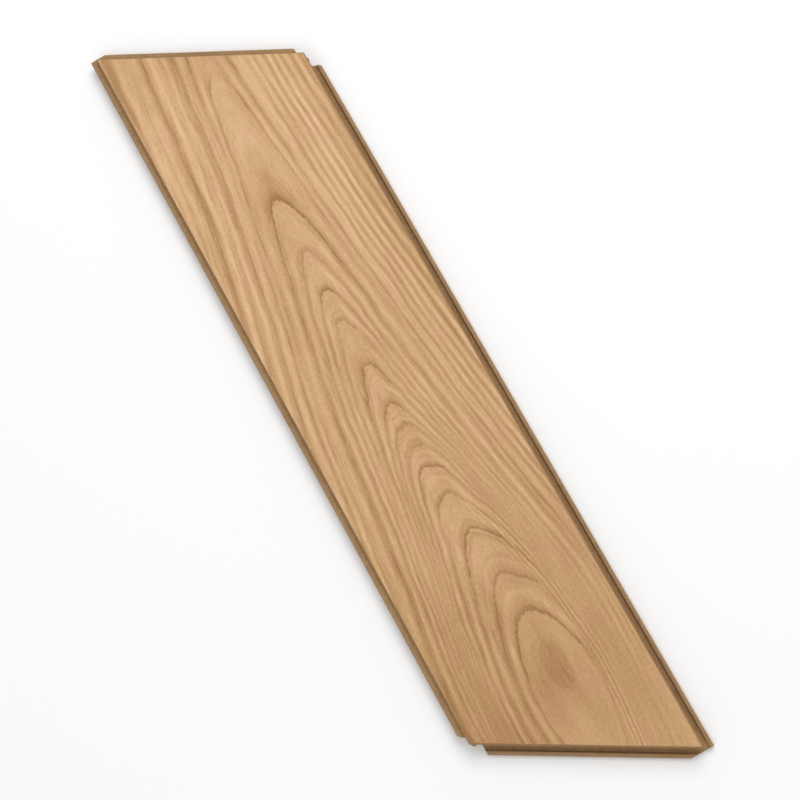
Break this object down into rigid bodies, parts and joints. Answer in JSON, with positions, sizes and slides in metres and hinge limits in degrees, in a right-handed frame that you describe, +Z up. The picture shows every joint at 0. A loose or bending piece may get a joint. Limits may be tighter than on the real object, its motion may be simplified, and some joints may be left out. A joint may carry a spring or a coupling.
{
  "type": "laminate floor plank",
  "caption": "Chevron-cut oak-look laminate floor plank: a slanted board with bevelled edges and a milled click joint all round, for laying in a V pattern.",
  "frame": {"origin": "middle of the laid module (the slanted outline bounded by the four joint faces), on the underside", "axes": "+X along the grain, from the tongue end to the groove end; +Y square across the plank, from the tongue edge to the groove edge; +Z up, out of the decor face"},
  "size_m": [0.602, 0.1356, 0.012],
  "materials": {
    "laminate_board": "satin"
  },
  "bodies": {
    "root": {"plank": "laminate_board"}
  },
  "joints": []
}
